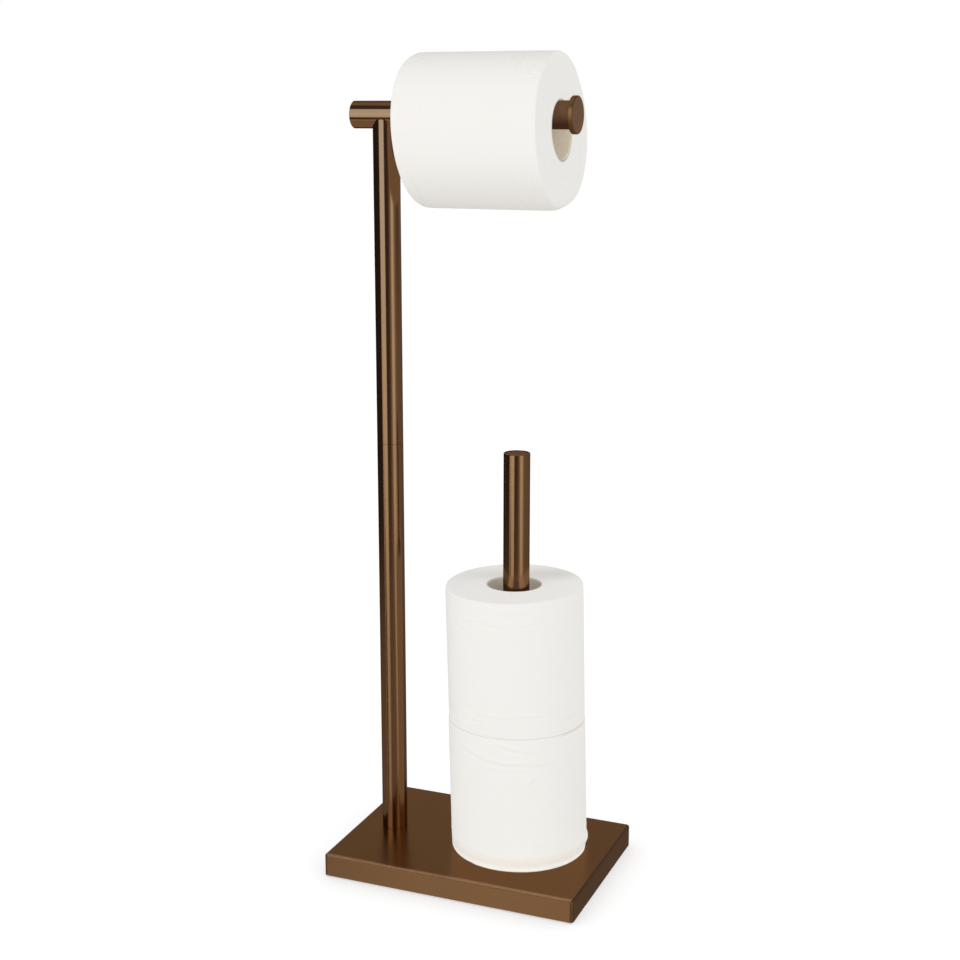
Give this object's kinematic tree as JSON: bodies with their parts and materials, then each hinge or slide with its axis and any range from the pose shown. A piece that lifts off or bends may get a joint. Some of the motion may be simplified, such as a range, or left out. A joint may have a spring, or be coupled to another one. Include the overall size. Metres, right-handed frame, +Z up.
{
  "type": "freestanding toilet roll holder",
  "caption": "Freestanding toilet roll holder: weighted rectangular base, tall post with a roll arm, short post for spare rolls, and removable rolls.",
  "frame": {"origin": "centre of the footprint, on the floor", "axes": "+X along the arm towards its end cap, +Z up, +Y to the back"},
  "size_m": [0.1944, 0.135, 0.594],
  "materials": {
    "bronze": "brushed, bronze-coloured, satin",
    "bronze_tube": "brushed along the tube, bronze-coloured, satin",
    "bronze_turned": "turned, bronze-coloured, satin",
    "steel": "zinc plated",
    "iron": "rough cast",
    "cover": "fine grained",
    "pads": "matt foam rubber",
    "card": "raw, spiral wound",
    "paper": "soft, lightly embossed tissue"
  },
  "bodies": {
    "holder": {"base_shell": "bronze", "ballast_slab": "iron", "bottom_cover": "cover", "cover_screws": "steel", "floor_pads": "pads", "post_washers": "steel", "post_bolts": "steel", "main_foot_insert": "steel", "lower_main_tube": "bronze_tube", "lower_joint_insert": "steel", "joint_stud": "steel", "upper_joint_insert": "steel", "upper_main_tube": "bronze_tube", "saddle_plug": "steel", "saddle_screw": "steel", "arm_nut_block": "steel", "arm_tube": "bronze_tube", "arm_back_stopper": "bronze_turned", "arm_end_plug": "steel", "arm_end_cap": "bronze_turned", "spare_foot_insert": "steel", "spare_post_tube": "bronze_tube", "spare_top_stopper": "bronze_turned"},
    "arm_roll": {"arm_roll_core": "card", "arm_roll_paper": "paper"},
    "lower_roll": {"lower_roll_core": "card", "lower_roll_paper": "paper"},
    "upper_roll": {"upper_roll_core": "card", "upper_roll_paper": "paper"}
  },
  "joints": [
    {"name": "arm_roll_spin", "type": "hinge", "parent": "holder", "child": "arm_roll", "pos_m": [0.0078, 0, 0.54102], "axis": [1, 0, 0], "continuous": true},
    {"name": "lower_roll_lift", "type": "slide", "parent": "holder", "child": "lower_roll", "axis": [0, 0, 1], "range_m": [0, 0.06]},
    {"name": "upper_roll_lift", "type": "slide", "parent": "lower_roll", "child": "upper_roll", "axis": [0, 0, 1], "range_m": [0, 0.2]}
  ]
}
